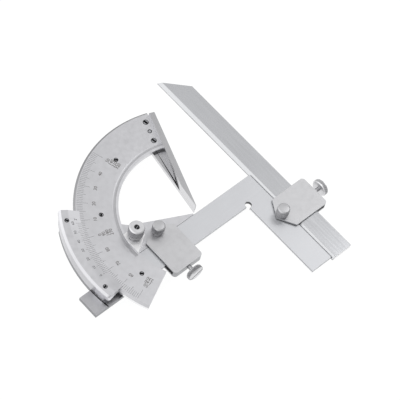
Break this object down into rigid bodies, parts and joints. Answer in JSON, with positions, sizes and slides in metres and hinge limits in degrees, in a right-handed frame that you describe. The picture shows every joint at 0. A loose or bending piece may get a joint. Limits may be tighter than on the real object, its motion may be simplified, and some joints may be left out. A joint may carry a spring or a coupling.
{
  "type": "vernier bevel protractor",
  "caption": "Universal bevel protractor: an arc scale with base rule turns against a sector with vernier, brake and fine-adjust pinion; clamps hold a square and a straight rule.",
  "frame": {"origin": "on the axis about which the scale turns, level with the front face of the main scale", "axes": "+X along the square's long limb towards its corner, +Y along the straight rule towards its pointed end, +Z out of the graduated face"},
  "size_m": [0.159, 0.15, 0.0256],
  "materials": {
    "bush_brass": "turned brass",
    "dark_screw": "blackened steel",
    "gear_steel": "cut gear steel",
    "ground_steel": "ground bare steel",
    "knurled_steel": "knurled, plated",
    "satin_steel": "satin chrome plate",
    "scale_steel": "fine satin, graduated",
    "spring_steel": "blue-grey spring steel"
  },
  "bodies": {
    "sector": {"sector_plate": "satin_steel", "guide_plate": "satin_steel", "guide_plate_screws": "dark_screw", "vernier_base": "satin_steel", "vernier_base_screws": "dark_screw", "vernier_plate": "scale_steel", "vernier_screws": "dark_screw", "pinion_bush": "bush_brass", "brake_stud": "dark_screw", "brake_shoe": "satin_steel", "clamp1_body": "satin_steel", "clamp1_leaf_spring": "spring_steel", "clamp1_pad": "gear_steel"},
    "scale": {"main_scale": "scale_steel", "base_rule": "ground_steel", "base_rule_screws": "dark_screw", "base_rule_dowel": "dark_screw", "gear_segment": "gear_steel", "gear_segment_screws": "dark_screw"},
    "pinion": {"pinion": "gear_steel", "pinion_knob": "knurled_steel", "pinion_knob_screw": "dark_screw"},
    "brake_nut": {"brake_nut": "knurled_steel"},
    "clamp1_knob": {"clamp1_knob_screw": "knurled_steel"},
    "clamp1_thumb": {"clamp1_thumb_screw": "knurled_steel"},
    "square": {"square": "ground_steel", "clamp2_body": "satin_steel", "clamp2_leaf_spring": "spring_steel", "clamp2_pad": "gear_steel"},
    "clamp2_knob": {"clamp2_knob_screw": "knurled_steel"},
    "clamp2_thumb": {"clamp2_thumb_screw": "knurled_steel"},
    "straight_rule": {"straight_rule": "ground_steel"}
  },
  "joints": [
    {"name": "scale_turn", "type": "hinge", "parent": "sector", "child": "scale", "pos_m": [0, 0, 0], "axis": [0, 0, 1], "range_deg": [-19.33, 70.67]},
    {"name": "pinion_turn", "type": "hinge", "parent": "sector", "child": "pinion", "pos_m": [-0.0641, 0.00617, 0], "axis": [0, 0, 1], "range_deg": [-860, 236]},
    {"name": "brake_nut_turn", "type": "hinge", "parent": "sector", "child": "brake_nut", "pos_m": [-0.03898, 0.009, 0], "axis": [0, 0, 1], "range_deg": [0, 360]},
    {"name": "clamp1_knob_turn", "type": "hinge", "parent": "sector", "child": "clamp1_knob", "pos_m": [-0.026, 0.0039, 0], "axis": [0, 0, 1], "range_deg": [0, 360]},
    {"name": "clamp1_thumb_turn", "type": "hinge", "parent": "sector", "child": "clamp1_thumb", "pos_m": [-0.026, -0.02, -0.0043], "axis": [0, -1, 0], "range_deg": [0, 720]},
    {"name": "square_slide", "type": "slide", "parent": "sector", "child": "square", "axis": [1, 0, 0], "range_m": [0, 0.014]},
    {"name": "clamp2_knob_turn", "type": "hinge", "parent": "square", "child": "clamp2_knob", "pos_m": [0.03865, -0.0312, 0], "axis": [0, 0, 1], "range_deg": [0, 360]},
    {"name": "clamp2_thumb_turn", "type": "hinge", "parent": "square", "child": "clamp2_thumb", "pos_m": [0.0625, -0.0312, -0.00425], "axis": [1, 0, 0], "range_deg": [0, 720]},
    {"name": "rule_slide", "type": "slide", "parent": "square", "child": "straight_rule", "axis": [0, 1, 0], "range_m": [-0.08, 0.03]}
  ],
  "couplings": [
    {"joint": "pinion_turn", "follows": "scale_turn", "ratio": -12.143}
  ]
}
